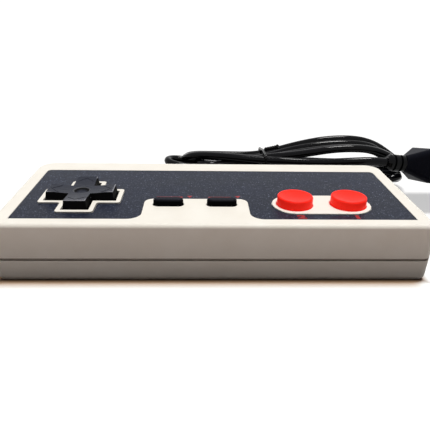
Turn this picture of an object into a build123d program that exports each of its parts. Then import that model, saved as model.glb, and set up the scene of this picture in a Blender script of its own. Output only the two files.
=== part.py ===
"""A wired two-button game controller with its cord wound in a tied hank, in millimetres.

The origin is at the bottom centre of the case, +X is right, +Y is towards the cord and +Z is up.
"""

import math
import os

from build123d import *

# Case
case_width = 124.0
case_depth = 53.0
case_height = 18.0
parting_height = 7.3
front_corner_radius = 2.4
back_corner_radius = 5.5
inner_corner_radius = 0.4
top_edge_radius = 1.2
bottom_edge_radius = 1.8
bottom_draft = 2.5
wall = 2.0
top_wall = 2.0
floor_thickness = 1.8
groove_depth = 0.7
groove_height = 0.45
lip_height = 1.2
lip_thickness = 0.9
lip_clearance = 0.1

# Face plate and the recess that it lies in
plate_side_border = 4.5
plate_front_border = 4.0
plate_back_border = 8.5
plate_thickness = 0.35
plate_recess = 0.4
plate_clearance = 0.12
plate_corner_radius = 1.5
notch_left = -21.0
notch_right = 10.1
notch_depth = 14.7
notch_corner_radius = 2.8
notch_flare_radius = 4.0

# Direction pad, its rim and its rocking pivot
pad_from_side = 21.6
pad_from_front = 20.0
pad_length = 20.6
pad_arm_width = 7.0
pad_clearance = 0.55
pad_taper = 8.0
pad_proud = 3.1
pad_dish = 0.9
dimple_radius = 2.6
dimple_depth = 0.9
dimple_rim_lift = 0.06
pad_corner_radius = 0.5
rim_width = 1.35
rim_height = 0.4
rim_corner_radius = 0.9
pad_flange_radius = 11.5
pad_flange_thickness = 1.0
pad_flange_drop = 0.2
pivot_depth = 3.6
pivot_radius = 1.5
pivot_clearance = 0.05
pivot_seat_depth = 0.5
pivot_post_radius = 2.0
pivot_opening_radius = 3.4
pad_dome_reach = 7.4
pad_plunger_radius = 1.95
pad_plunger_length = 0.8

# Round buttons and the island that they stand on
round_from_front = 14.4
round_from_side = 21.7
round_pitch = 16.2
round_radius = 5.3
round_proud = 3.0
round_dish_radius = 4.7
round_dish_depth = 0.5
round_edge_radius = 0.4
round_clearance = 0.25
round_plunger_radius = 3.0
island_length = 29.8
island_depth = 13.8
island_height = 0.3
island_edge_radius = 0.25

# Pill buttons
pill_from_front = 14.5
pill_left_x = -13.75
pill_right_x = 2.2
pill_length = 8.9
pill_width = 3.05
pill_proud = 1.95
pill_edge_radius = 0.7
pill_clearance = 0.25
pill_plunger_length = 5.0
pill_plunger_width = 2.2

# What all buttons share
flange_thickness = 0.9
flange_reach = 1.1
flange_clearance = 0.1

# Circuit board and what is on it
board_side_gap = 9.0
board_front_gap = 4.5
board_back_gap = 12.5
board_drop = 9.4
board_thickness = 1.6
board_clearance = 0.4
pad_copper = 0.05
copper_split = 0.6
post_radius = 1.8
post_xs = (-23.7, 12.4, -8.0)
post_inset = 5.0
post_front_inset = 3.5
post_back_inset = 4.5
pin_radius = 1.0
pin_clearance = 0.1
chip_x = 20.0
chip_y = 5.0
chip_length = 19.3
chip_width = 6.4
chip_thickness = 3.4
chip_standoff = 0.6
chip_notch_radius = 0.8
leg_pitch = 2.54
legs_per_side = 8
leg_rows = 7.62
leg_width = 0.5
leg_thickness = 0.3
leg_clearance = 0.1
leg_below = 1.0
solder_radius = 0.9
solder_tip_radius = 0.5
solder_height = 0.7

# Rubber membranes and carbon pills
sheet_thickness = 0.9
sheet_corner_radius = 2.0
pad_sheet = 25.0
round_sheet_length = 31.0
round_sheet_depth = 15.0
pill_sheet_length = 28.0
pill_sheet_depth = 9.0
dome_skin = 0.7
dome_flare = 1.6
dome_roof = 1.2
pad_dome_radius = 2.3
round_dome_radius = 3.4
pill_dome_radius = 2.1
carbon_inset = 1.0
pad_carbon_gap = 1.15
round_carbon_gap = 1.7
pill_carbon_gap = 1.35

# Case screws and their bosses
screw_inset = 7.0
screw_front_x = -5.8
screw_front_inset = 6.8
screw_back_x = 20.0
screw_back_inset = 7.9
boss_radius = 2.6
boss_bottom = 5.0
lower_boss_radius = 3.6
counterbore_radius = 2.7
counterbore_depth = 2.6
screw_shaft_radius = 1.2
screw_shaft_length = 8.0
screw_thread_clearance = 0.02
screw_hole_clearance = 0.2
screw_head_radius = 2.4
screw_head_height = 1.7
screw_slot_length = 2.9
screw_slot_width = 0.7
screw_slot_depth = 0.8

# Cord, strain relief and cores
cord_diameter = 3.2
cord_exit_x = -16.0
relief_bore_clearance = 0.05
relief_neck_radius = 2.7
relief_neck_clearance = 0.1
relief_collar_radius = 4.0
relief_collar_thickness = 1.4
relief_root_radius = 3.3
relief_tip_radius = 2.3
relief_length = 5.0
cord_inside = 4.0
core_diameter = 0.7
core_circle_radius = 1.05
core_bend_radius = 0.7
core_pad_pitch = 2.6
core_pad_inset = 2.5
core_loop_height = 1.7
core_colours = ["white", "brown", "red", "orange", "yellow"]
core_turns = [1, 2, 0, 3, 4]

# Hank: the corners of its outermost loop, anticlockwise from the front of the waist, and the
# cord's bends before and after it, whose second number is counted from the back of the case
run_share = 0.45
strand_gap = 0.65
layer_count = 4
loops_per_layer = 2
hank_waist_x = 22.0
hank_belly_x = 50.0
hank_left_x = -19.5
hank_right_x = 80.5
hank_behind_case = 13.5
hank_right_depth = 20.0
hank_left_depth = 21.8
hank_waist_depth = 17.9
hank_floor_gap = 0.1
hank_waist_lift = 1.2
hank_arch_lift = 6.0
hank_turn_radius = 3.3
hank_bend_radius = 40.0
hank_lead_run = 9.0
lead_end_run = 5.5
lead_bends = [
    (cord_exit_x, 7.7, parting_height),
    (-14.3, 9.7, 6.5),
    (-10.2, 10.5, 5.1),
    (-3.8, 11.3, 3.5),
    (2.2, 12.7, 2.6),
]
hank_tail_run = (7.0, -1.0, 0.4)
tail_start_run = 1.2
tail_end_run = 6.5
sample_step = 1.5
tail_bends = [(47.0, 10.4, 15.4), (55.5, 8.9, 16.3)]

# Wire tie round the waist
tie_thickness = 0.9
tie_width = 1.6
tie_clearance = 0.3
tie_corner_radius = 1.5
tie_end_diameter = 1.5
tie_end_length = 4.5
tie_end_rise = 22.0
tie_end_inset = 3.0

# Plug at the cord's far end
plug_start_x = 69.0
plug_behind_case = 8.0
plug_start_z = 16.4
plug_droop = 4.0
plug_roll = 15.0
boot_radius = 3.2
boot_tip_radius = 2.3
boot_length = 7.0
boot_tip_length = 1.2
boot_groove_width = 0.9
boot_groove_depth = 0.8
boot_groove_places = [2.1, 4.6]
plug_width = 20.0
plug_height = 13.0
plug_flare_length = 6.5
plug_grip_length = 18.5
plug_corner_radius = 2.0
plug_neck_corner_radius = 2.3
insert_width = 16.4
insert_height = 8.6
insert_length = 11.0
insert_proud = 3.0
insert_chamfer = 2.0
insert_clearance = 0.05
socket_radius = 1.1
socket_depth = 6.5
socket_pitch = 3.9
contact_radius = 0.8
contact_clearance = 0.02

# Levels and sizes that follow from those above
case_side = case_width / 2
case_front = -case_depth / 2
case_back = case_depth / 2
top_under = case_height - top_wall
board_bottom = top_under - board_drop
board_top = board_bottom + board_thickness
flange_top = top_under - flange_clearance
pivot_z = case_height - pivot_depth
pad_flange_bottom = pivot_z - pad_flange_drop - pad_flange_thickness
dome_top = pad_flange_bottom - pad_plunger_length
plate_width = case_width - 2 * plate_side_border
plate_front = case_front + plate_front_border
plate_back = case_back - plate_back_border
notch_back = plate_front + notch_depth
pad_x = pad_from_side - case_side
pad_y = case_front + pad_from_front
round_y = case_front + round_from_front
round_right_x = case_side - round_from_side
round_left_x = round_right_x - round_pitch
island_x = (round_left_x + round_right_x) / 2
pill_y = case_front + pill_from_front
board_width = case_width - 2 * board_side_gap
board_front = case_front + board_front_gap
board_back = case_back - board_back_gap
core_pad_y = board_back - core_pad_inset
hank_front_y = case_back + hank_behind_case
plug_start = (plug_start_x, case_back + plug_behind_case, plug_start_z)
relief_end_y = case_back + relief_length
inner_cord_y = case_back - wall - relief_collar_thickness - cord_inside
round_places = {"a_button": round_right_x, "b_button": round_left_x}
pill_places = {"select_button": pill_left_x, "start_button": pill_right_x}
dome_steps = [(1, 0), (0, 1), (-1, 0), (0, -1)]
screw_places = [
    (side * (case_side - screw_inset), end * (case_back - screw_inset)) for side in (-1, 1) for end in (-1, 1)
]
screw_places.append((screw_front_x, case_front + screw_front_inset))
screw_places.append((screw_back_x, case_back - screw_back_inset))
post_places = [
    (post_xs[0], board_front + post_front_inset),
    (post_xs[1], board_front + post_front_inset),
    (post_xs[2], board_back - post_back_inset),
    (board_width / 2 - post_inset, board_back - post_back_inset),
]


def block(sketch, bottom, top):
    return extrude(Pos(0, 0, bottom) * sketch, top - bottom, dir=(0, 0, 1))


def post(x, y, radius, bottom, top):
    return Pos(x, y, bottom) * Cylinder(radius, top - bottom, align=(Align.CENTER, Align.CENTER, Align.MIN))


def frustum(x, y, bottom_radius, top_radius, bottom, top):
    return Pos(x, y, bottom) * Cone(
        bottom_radius, top_radius, top - bottom, align=(Align.CENTER, Align.CENTER, Align.MIN)
    )


def along_y(x, z, radius, near, far):
    return Pos(x, near, z) * Rot(-90, 0, 0) * Cylinder(
        radius, far - near, align=(Align.CENTER, Align.CENTER, Align.MIN)
    )


def outline(inset):
    """The case's outline drawn in by inset, rounder at the back corners than at the front ones."""
    shape = Rectangle(case_width - 2 * inset, case_depth - 2 * inset)
    shape = fillet(shape.vertices().group_by(Axis.Y)[-1], back_corner_radius - inset)
    front_corners = shape.vertices().group_by(Axis.Y)[0]
    return fillet(front_corners, max(front_corner_radius - inset, inner_corner_radius))


def cross(length, arm_width):
    return Rectangle(length, arm_width) + Rectangle(arm_width, length)


def bowl(x, y, rim_z, radius, depth):
    """The ball that leaves a dish of this radius and depth below rim_z."""
    ball_radius = (radius**2 + depth**2) / (2 * depth)
    return Pos(x, y, rim_z - depth + ball_radius) * Sphere(ball_radius)


def nearest_corners(sketch, places):
    return [min(sketch.vertices(), key=lambda v: (v - Vertex(x, y, 0)).center().length) for x, y in places]


# Face plate

def rim_outline(grow):
    length = pad_length + 2 * (pad_clearance + rim_width)
    arm_width = pad_arm_width + 2 * (pad_clearance + rim_width)
    shape = fillet(cross(length, arm_width).vertices(), rim_corner_radius)
    return Pos(pad_x, pad_y) * (offset(shape, grow) if grow else shape)


def island_outline(grow):
    return Pos(island_x, round_y) * SlotOverall(island_length + 2 * grow, island_depth + 2 * grow)


def plate_outline(gap):
    """The sheet's outline, with gap taken off every edge."""
    left, right = -plate_width / 2, plate_width / 2
    sheet = Pos(0, (plate_front + plate_back) / 2) * Rectangle(plate_width, plate_back - plate_front)
    notch_middle = ((notch_left + notch_right) / 2, (plate_front + notch_back) / 2)
    sheet -= Pos(*notch_middle) * Rectangle(notch_right - notch_left, notch_back - plate_front)
    back_corners = nearest_corners(sheet, [(left, plate_back), (right, plate_back)])
    sheet = fillet(back_corners, plate_corner_radius)
    inner = nearest_corners(sheet, [(notch_left, notch_back), (notch_right, notch_back)])
    sheet = fillet(inner, notch_corner_radius)
    flares = nearest_corners(sheet, [(notch_left, plate_front), (notch_right, plate_front)])
    sheet = fillet(flares, notch_flare_radius)
    sheet = offset(sheet, -gap) if gap else sheet
    return sheet - rim_outline(gap) - island_outline(gap)


def face_plate():
    seat = case_height - plate_recess
    return block(plate_outline(plate_clearance), seat, seat + plate_thickness)


# Case shells

def cord_hole():
    radius = relief_neck_radius + relief_neck_clearance
    return along_y(cord_exit_x, parting_height, radius, inner_cord_y, relief_end_y)


def top_shell():
    shell = block(outline(0), parting_height, case_height)
    shell = fillet(shell.edges().group_by(Axis.Z)[-1], top_edge_radius)
    shell -= block(outline(wall), parting_height, top_under)
    rebate = lip_thickness + lip_clearance
    shell -= block(outline(wall - rebate), parting_height, parting_height + lip_height + lip_clearance)
    shell -= block(plate_outline(0), case_height - plate_recess, case_height + rim_height)
    shell += block(rim_outline(0), top_under, case_height + rim_height)
    island = block(island_outline(0), top_under, case_height + island_height)
    shell += fillet(island.edges().group_by(Axis.Z)[-1], island_edge_radius)
    for x, y in screw_places:
        shell += post(x, y, boss_radius, boss_bottom, top_under)
    for x, y in post_places:
        shell += post(x, y, post_radius, board_top, top_under)
    above = case_height + rim_height
    gap = pad_clearance
    opening = Pos(pad_x, pad_y) * cross(pad_length + 2 * gap, pad_arm_width + 2 * gap)
    shell -= block(opening, top_under, above)
    for x in round_places.values():
        shell -= post(x, round_y, round_radius + round_clearance, top_under, above)
    for x in pill_places.values():
        hole = SlotOverall(pill_length + 2 * pill_clearance, pill_width + 2 * pill_clearance)
        shell -= block(Pos(x, pill_y) * hole, top_under, above)
    pilot_top = counterbore_depth + screw_shaft_length + lip_height
    for x, y in screw_places:
        shell -= post(x, y, screw_shaft_radius + screw_thread_clearance, boss_bottom, pilot_top)
    return shell - cord_hole()


def bottom_shell():
    shell = extrude(Pos(0, 0, parting_height) * outline(0), -parting_height, taper=bottom_draft)
    shell = fillet(shell.edges().group_by(Axis.Z)[0], bottom_edge_radius)
    shell -= block(outline(wall), floor_thickness, parting_height)
    lip = outline(wall - lip_thickness) - outline(wall)
    shell += block(lip, floor_thickness, parting_height + lip_height)
    shell -= block(outline(0) - outline(groove_depth), parting_height - groove_height, parting_height)
    for x, y in screw_places:
        shell += post(x, y, lower_boss_radius, floor_thickness / 2, boss_bottom)
    for x, y in post_places:
        shell += post(x, y, post_radius, floor_thickness / 2, board_bottom)
        shell += post(x, y, pin_radius, board_bottom, board_top - pin_clearance)
    pivot_post = post(pad_x, pad_y, pivot_post_radius, floor_thickness / 2, pivot_z - pivot_seat_depth)
    shell += pivot_post - Pos(pad_x, pad_y, pivot_z) * Sphere(pivot_radius + pivot_clearance)
    for x, y in screw_places:
        shell -= post(x, y, counterbore_radius, 0, counterbore_depth)
        shell -= post(x, y, screw_shaft_radius + screw_hole_clearance, 0, boss_bottom)
    return shell - cord_hole()


def case_screws():
    head_bottom = counterbore_depth - screw_head_height
    screws = []
    for x, y in screw_places:
        head = post(x, y, screw_head_radius, head_bottom, counterbore_depth)
        slot = Pos(x, y) * cross(screw_slot_length, screw_slot_width)
        head -= block(slot, head_bottom, head_bottom + screw_slot_depth)
        shaft_top = counterbore_depth + screw_shaft_length
        screws.append(head + post(x, y, screw_shaft_radius, counterbore_depth, shaft_top))
    return screws


# Buttons

def d_pad():
    top = case_height + pad_proud
    flange_bottom = pad_flange_bottom
    body = block(cross(pad_length, pad_arm_width), flange_bottom, case_height)
    body += extrude(Pos(0, 0, case_height) * cross(pad_length, pad_arm_width), pad_proud, taper=pad_taper)
    body = fillet(body.edges().group_by(Axis.Z)[-1], pad_corner_radius)
    body += post(0, 0, pad_flange_radius, flange_bottom, flange_bottom + pad_flange_thickness)
    body -= bowl(0, 0, top, pad_length / 2, pad_dish)
    body -= bowl(0, 0, top - pad_dish + dimple_rim_lift, dimple_radius, dimple_depth)
    for step_x, step_y in dome_steps:
        place = (step_x * pad_dome_reach, step_y * pad_dome_reach)
        body += post(*place, pad_plunger_radius, dome_top, flange_bottom)
    body -= post(0, 0, pivot_opening_radius, flange_bottom, pivot_z + pivot_seat_depth)
    body -= Pos(0, 0, pivot_z) * Sphere(pivot_radius + pivot_clearance)
    return Pos(pad_x, pad_y) * body


def d_pad_pivot():
    return Pos(pad_x, pad_y, pivot_z) * Sphere(pivot_radius)


def round_button(x):
    top = case_height + round_proud
    body = post(x, round_y, round_radius, flange_top - flange_thickness, top)
    body = fillet(body.edges().group_by(Axis.Z)[-1], round_edge_radius)
    body -= bowl(x, round_y, top, round_dish_radius, round_dish_depth)
    body += post(x, round_y, round_radius + flange_reach, flange_top - flange_thickness, flange_top)
    return body + post(x, round_y, round_plunger_radius, dome_top, flange_top)


def pill_button(x):
    shape = SlotOverall(pill_length, pill_width)
    body = block(shape, flange_top - flange_thickness, case_height + pill_proud)
    body = fillet(body.edges().group_by(Axis.Z)[-1], pill_edge_radius)
    flange = SlotOverall(pill_length + 2 * flange_reach, pill_width + 2 * flange_reach)
    body += block(flange, flange_top - flange_thickness, flange_top)
    body += block(Rectangle(pill_plunger_length, pill_plunger_width), dome_top, flange_top)
    return Pos(x, pill_y) * body


# Rubber membranes and carbon pills

def membrane(sheet, places, dome_radius):
    """A sheet with a hollow flared dome at each place."""
    sheet_top = board_top + sheet_thickness
    roof = dome_top - dome_roof
    rubber = block(sheet, board_top, sheet_top)
    for x, y in places:
        rubber += frustum(x, y, dome_radius + dome_flare, dome_radius, sheet_top, dome_top)
    inner = dome_radius - dome_skin
    for x, y in places:
        rubber -= post(x, y, inner + dome_flare, board_top, sheet_top)
        rubber -= frustum(x, y, inner + dome_flare, inner, sheet_top, roof)
    return rubber


def pad_dome_places():
    return [(pad_x + x * pad_dome_reach, pad_y + y * pad_dome_reach) for x, y in dome_steps]


def round_dome_places():
    return [(x, round_y) for x in round_places.values()]


def pill_dome_places():
    return [(x, pill_y) for x in pill_places.values()]


def d_pad_membrane():
    sheet = Pos(pad_x, pad_y) * RectangleRounded(pad_sheet, pad_sheet, sheet_corner_radius)
    rubber = membrane(sheet, pad_dome_places(), pad_dome_radius)
    return rubber - post(pad_x, pad_y, pivot_post_radius + board_clearance, board_top, dome_top)


def round_membrane():
    sheet = RectangleRounded(round_sheet_length, round_sheet_depth, sheet_corner_radius)
    return membrane(Pos(island_x, round_y) * sheet, round_dome_places(), round_dome_radius)


def pill_membrane():
    sheet = RectangleRounded(pill_sheet_length, pill_sheet_depth, sheet_corner_radius)
    middle = (pill_left_x + pill_right_x) / 2
    return membrane(Pos(middle, pill_y) * sheet, pill_dome_places(), pill_dome_radius)


def carbon_pill(place, dome_radius, gap):
    radius = dome_radius - carbon_inset
    return post(*place, radius, board_top + pad_copper + gap, dome_top - dome_roof)


# Circuit board

def board_outline():
    middle = (board_front + board_back) / 2
    return Pos(0, middle) * Rectangle(board_width, board_back - board_front)


def leg_places():
    first = -(legs_per_side - 1) / 2
    return [
        (chip_x + (first + i) * leg_pitch, chip_y + side * leg_rows / 2, side)
        for side in (-1, 1)
        for i in range(legs_per_side)
    ]


def circuit_board():
    board = block(board_outline(), board_bottom, board_top)
    for x, y in screw_places:
        board -= post(x, y, boss_radius + board_clearance, board_bottom, board_top)
    for x, y in post_places:
        board -= post(x, y, pin_radius + pin_clearance, board_bottom, board_top)
    board -= post(pad_x, pad_y, pivot_post_radius + board_clearance, board_bottom, board_top)
    for x, y, side in leg_places():
        board -= post(x, y, leg_width / 2 + leg_clearance, board_bottom, board_top)
    return board


def core_pad_places():
    return [(cord_exit_x + (i - 2) * core_pad_pitch, core_pad_y) for i in range(len(core_colours))]


def contact_pads():
    """Two half discs of copper below each dome, and a round pad for each core."""
    copper = []
    domes = [(p, pad_dome_radius) for p in pad_dome_places()]
    domes += [(p, round_dome_radius) for p in round_dome_places()]
    domes += [(p, pill_dome_radius) for p in pill_dome_places()]
    for (x, y), dome_radius in domes:
        disc = post(x, y, dome_radius, board_top, board_top + pad_copper)
        for side in (-1, 1):
            reach = dome_radius + copper_split
            half = Pos(x + side * (reach + copper_split) / 2, y) * Rectangle(reach, 2 * reach)
            copper.append(disc & block(half, board_top, board_top + pad_copper))
    for x, y in core_pad_places():
        copper.append(post(x, y, solder_radius, board_top, board_top + pad_copper))
    return copper


def shift_register():
    bottom = board_top + chip_standoff
    body = block(Pos(chip_x, chip_y) * Rectangle(chip_length, chip_width), bottom, bottom + chip_thickness)
    notch = post(chip_x - chip_length / 2, chip_y, chip_notch_radius, bottom, bottom + chip_thickness)
    return body - notch


def chip_legs():
    level = board_top + chip_standoff + chip_thickness / 2
    legs = []
    for x, y, side in leg_places():
        down = Pos(x, y) * Rectangle(leg_width, leg_thickness)
        leg = block(down, board_bottom - leg_below, level + leg_thickness)
        body_side = chip_y + side * chip_width / 2
        end = y + side * leg_thickness / 2
        across = Pos(x, (body_side + end) / 2) * Rectangle(leg_width, abs(end - body_side))
        legs.append(leg + block(across, level, level + leg_thickness))
    return legs


def solder_joints():
    joints = []
    for x, y, side in leg_places():
        cone = frustum(x, y, solder_tip_radius, solder_radius, board_bottom - solder_height, board_bottom)
        leg = Pos(x, y) * Rectangle(leg_width, leg_thickness)
        joints.append(cone - block(leg, board_bottom - solder_height, board_bottom))
    seat = board_top + pad_copper
    for x, y in core_pad_places():
        joints.append(frustum(x, y, solder_radius, solder_tip_radius, seat, seat + solder_height))
    return joints


# Cord

def tube(points, radii, diameter):
    """A round tube along straight runs joined by tangent arcs."""
    path = FilletPolyline(*points, radius=radii)
    section = Plane(origin=path @ 0, z_dir=path % 0) * Circle(diameter / 2)
    solid = sweep(section, path=path)
    expected = math.pi * diameter**2 / 4 * path.length
    print(f"  length {path.length:.1f}, volume {solid.volume / expected:.4f} of section times length")
    return solid, path


def largest_radii(points):
    """At each corner, the radius that uses run_share of the shorter run."""
    radii = []
    for before, here, after in zip(points, points[1:], points[2:]):
        first, second = Vector(here) - Vector(before), Vector(after) - Vector(here)
        half_turn = math.radians(first.get_angle(second)) / 2
        radii.append(run_share * min(first.length, second.length) / math.tan(half_turn))
    return radii


def strain_relief():
    inner_face = case_back - wall
    outer_face = case_back
    collar_back = inner_face - relief_neck_clearance
    relief = along_y(cord_exit_x, parting_height, relief_neck_radius, collar_back, outer_face)
    relief += along_y(
        cord_exit_x, parting_height, relief_collar_radius, collar_back - relief_collar_thickness, collar_back
    )
    sleeve = Pos(cord_exit_x, outer_face + relief_neck_clearance, parting_height) * Rot(-90, 0, 0) * Cone(
        relief_root_radius,
        relief_tip_radius,
        relief_length - relief_neck_clearance,
        align=(Align.CENTER, Align.CENTER, Align.MIN),
    )
    relief += along_y(
        cord_exit_x, parting_height, relief_neck_radius, outer_face, outer_face + relief_neck_clearance
    )
    bore = cord_diameter / 2 + relief_bore_clearance
    return relief + sleeve - along_y(cord_exit_x, parting_height, bore, inner_cord_y, relief_end_y)


def cord_inner():
    return along_y(cord_exit_x, parting_height, cord_diameter / 2, inner_cord_y, relief_end_y)


def core_wire(number):
    """One core, from the end of the jacket over the board's edge and down onto its solder."""
    angle = math.radians(90 + core_turns[number] * 360 / len(core_colours))
    side_x, side_z = core_circle_radius * math.cos(angle), core_circle_radius * math.sin(angle)
    pad_place_x, pad_place_y = core_pad_places()[number]
    seat = board_top + pad_copper + solder_height
    over = seat + core_loop_height
    rise_y = (board_back + inner_cord_y) / 2
    points = [
        (cord_exit_x + side_x, inner_cord_y, parting_height + side_z),
        (cord_exit_x + side_x, (inner_cord_y + rise_y) / 2, parting_height + side_z),
        (pad_place_x, board_back + core_diameter, over),
        (pad_place_x, pad_place_y, over),
        (pad_place_x, pad_place_y, seat),
    ]
    return tube(points, [core_bend_radius] * 3, core_diameter)[0]


def hank_corners():
    waist_front = hank_front_y + (hank_right_depth - hank_waist_depth) / 2
    left_front = hank_front_y + (hank_right_depth - hank_left_depth) / 2
    return [
        (hank_waist_x, waist_front),
        (hank_belly_x, hank_front_y),
        (hank_right_x, hank_front_y),
        (hank_right_x, hank_front_y + hank_right_depth),
        (hank_belly_x, hank_front_y + hank_right_depth),
        (hank_waist_x, waist_front + hank_waist_depth),
        (hank_left_x, left_front + hank_left_depth),
        (hank_left_x, left_front),
    ]


def inward(corners, i):
    """How far a corner moves when every side of the loop moves in by one."""
    before, here, after = (Vector(*corners[(i + k) % len(corners)]) for k in (-1, 0, 1))
    first, second = (here - before).normalized(), (after - here).normalized()
    normals = [Vector(-d.Y, d.X) for d in (first, second)]
    return (normals[0] + normals[1]) / (1 + normals[0].dot(normals[1]))


def hank_point(step):
    """Corner number step of the winding, which spirals in and out and climbs where it turns."""
    corners = hank_corners()
    pitch = cord_diameter + strand_gap
    i = step % len(corners)
    turn = step / len(corners)
    layer_place = turn / loops_per_layer
    layer = min(max(math.floor(layer_place), 0), layer_count - 1)
    inside = turn - layer * loops_per_layer
    depth = inside if layer % 2 == 0 else loops_per_layer - inside
    reversal = i == 0 and turn % loops_per_layer == 0 and 0 < layer_place < layer_count
    level = layer - 0.5 if reversal else layer
    lift = [hank_waist_lift, 0, 0, 0, 0, hank_waist_lift, 0, 0][i]
    arch = hank_arch_lift * level / (layer_count - 1) if i in (1, 4) else 0
    place = Vector(*corners[i]) + inward(corners, i) * (depth * pitch)
    height = hank_floor_gap + cord_diameter / 2 + level * pitch + lift + arch
    return Vector(place.X, place.Y, height), depth


def hank_route():
    """The winding's points and the radius at each inner point."""
    corners = hank_corners()
    pitch = cord_diameter + strand_gap
    first, _ = hank_point(0)
    before, _ = hank_point(-1)
    points = [first + (before - first).normalized() * hank_lead_run, first]
    radii = [hank_bend_radius]
    last_step = len(corners) * loops_per_layer * layer_count
    for step in range(1, last_step + 1):
        point, depth = hank_point(step)
        points.append(point)
        i = step % len(corners)
        deepest = loops_per_layer - min(i, len(corners) - i) / len(corners)
        at_end = i in (2, 3, 6, 7)
        radii.append(hank_turn_radius + (deepest - depth) * pitch if at_end else hank_bend_radius)
    points.append(points[-1] + Vector(*hank_tail_run))
    return points, radii


def least_gap(path, diameter):
    """The least clear distance between parts of a wound tube that lie a turn apart."""
    samples, along = [], 0.0
    sample_apart, sample_reach = 6 * diameter, 3 * diameter
    for edge in path.edges():
        count = max(2, math.ceil(edge.length / sample_step))
        for k in range(count):
            samples.append((along + edge.length * k / count, *(edge @ (k / count))))
        along += edge.length
    least = math.inf
    for n, (here, x, y, z) in enumerate(samples):
        for there, x2, y2, z2 in samples[n + 1 :]:
            if there - here > sample_apart and abs(x2 - x) < sample_reach:
                least = min(least, math.dist((x, y, z), (x2, y2, z2)))
    return least - diameter


def cord_hank():
    points, radii = hank_route()
    solid, path = tube(points, radii, cord_diameter)
    print(f"  hank: {layer_count * loops_per_layer} loops, tightest radius {min(radii):.2f}")
    print(f"  hank: least gap to itself {least_gap(path, cord_diameter):.2f}")
    return solid


def lead_points():
    hank_start = hank_route()[0][0]
    toward = (hank_route()[0][1] - hank_start).normalized()
    return [
        Vector(cord_exit_x, relief_end_y, parting_height),
        *(Vector(x, case_back + behind, z) for x, behind, z in lead_bends),
        hank_start - toward * lead_end_run,
        hank_start,
    ]


def tail_points():
    hank_end = hank_route()[0][-1]
    run = Vector(*hank_tail_run)
    return [
        hank_end,
        hank_end + run * tail_start_run,
        *(Vector(x, case_back + behind, z) for x, behind, z in tail_bends),
        Vector(*plug_start) - plug_axis() * tail_end_run,
        Vector(*plug_start),
    ]


def cord_stretch(name, points):
    radii = largest_radii(points)
    print(f"  {name} radii " + ", ".join(f"{r:.1f}" for r in radii))
    return tube(points, radii, cord_diameter)[0]


def cable_tie():
    """A flat loop round the waist and its twisted end."""
    corner_count = len(hank_corners())
    steps = range(corner_count * loops_per_layer * layer_count + 1)
    waist = [hank_point(step)[0] for step in steps if step % corner_count in (0, 5)]
    reach = cord_diameter / 2 + tie_clearance
    low_y, high_y = min(p.Y for p in waist) - reach, max(p.Y for p in waist) + reach
    low_z, high_z = min(p.Z for p in waist) - reach, max(p.Z for p in waist) + reach
    middle = (hank_waist_x, (low_y + high_y) / 2, (low_z + high_z) / 2)
    section = Plane(origin=middle, x_dir=(0, 1, 0), z_dir=(1, 0, 0))
    inner = RectangleRounded(high_y - low_y, high_z - low_z, tie_corner_radius)
    outer = offset(inner, tie_thickness)
    loop = extrude(section * (outer - inner), tie_width / 2, both=True)
    end_start = (hank_waist_x, low_y + tie_end_inset, high_z + (tie_thickness + tie_end_diameter) / 2)
    end = Pos(*end_start) * Rot(0, -tie_end_rise, 0) * along_x(tie_end_diameter / 2, 0, tie_end_length)
    return loop + end


# Plug, built along +X and then set where it lies

def plug_location():
    return Pos(*plug_start) * Rot(0, plug_droop, 0) * Rot(-plug_roll, 0, 0)


def plug_axis():
    droop = math.radians(plug_droop)
    return Vector(math.cos(droop), 0, -math.sin(droop))


def along_x(radius, near, far, y=0.0, z=0.0):
    return Pos(near, y, z) * Rot(0, 90, 0) * Cylinder(
        radius, far - near, align=(Align.CENTER, Align.CENTER, Align.MIN)
    )


def across_plug(distance):
    """The plane across the plug's axis, with the plug's width along its own x."""
    return Plane(origin=(distance, 0, 0), x_dir=(0, 1, 0), z_dir=(1, 0, 0))


def plug_boot():
    boot = Rot(0, 90, 0) * Cone(
        boot_tip_radius, boot_radius, boot_tip_length, align=(Align.CENTER, Align.CENTER, Align.MIN)
    )
    boot += along_x(boot_radius, boot_tip_length, boot_length)
    for place in boot_groove_places:
        ring = along_x(boot_radius * 2, place, place + boot_groove_width)
        ring -= along_x(boot_radius - boot_groove_depth, place, place + boot_groove_width)
        boot -= ring
    return plug_location() * boot


def plug_body():
    flare_end = boot_length + plug_flare_length
    neck = RectangleRounded(2 * boot_radius, 2 * boot_radius, plug_neck_corner_radius)
    narrow = across_plug(boot_length) * neck
    wide = across_plug(flare_end) * RectangleRounded(plug_width, plug_height, plug_corner_radius)
    body = loft([narrow, wide])
    body += extrude(wide, plug_grip_length, dir=(1, 0, 0))
    pocket = across_plug(insert_start()) * insert_outline(insert_clearance)
    return plug_location() * (body - extrude(pocket, insert_length, dir=(1, 0, 0)))


def insert_outline(grow):
    shape = Rectangle(insert_width + 2 * grow, insert_height + 2 * grow)
    corner = shape.vertices().sort_by(Axis.X)[-2:].sort_by(Axis.Y)[-1]
    return chamfer(corner, insert_chamfer)


def socket_places():
    """Four sockets in the lower row and three in the upper one, across and up from the plug's axis."""
    lower = [((i - 1.5) * socket_pitch, -socket_pitch / 2) for i in range(4)]
    return lower + [((i - 1.5) * socket_pitch, socket_pitch / 2) for i in range(3)]


def insert_start():
    return boot_length + plug_flare_length + plug_grip_length - insert_length + insert_proud


def plug_insert():
    start = insert_start()
    insert = extrude(across_plug(start) * insert_outline(0), insert_length, dir=(1, 0, 0))
    for y, z in socket_places():
        insert -= along_x(socket_radius, start + insert_length - socket_depth, start + insert_length, y, z)
        insert -= along_x(contact_radius + contact_clearance, start, start + insert_length, y, z)
    return plug_location() * insert


def plug_contacts():
    start = insert_start()
    end = start + insert_length - socket_depth
    return [plug_location() * along_x(contact_radius, start, end, y, z) for y, z in socket_places()]


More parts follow.
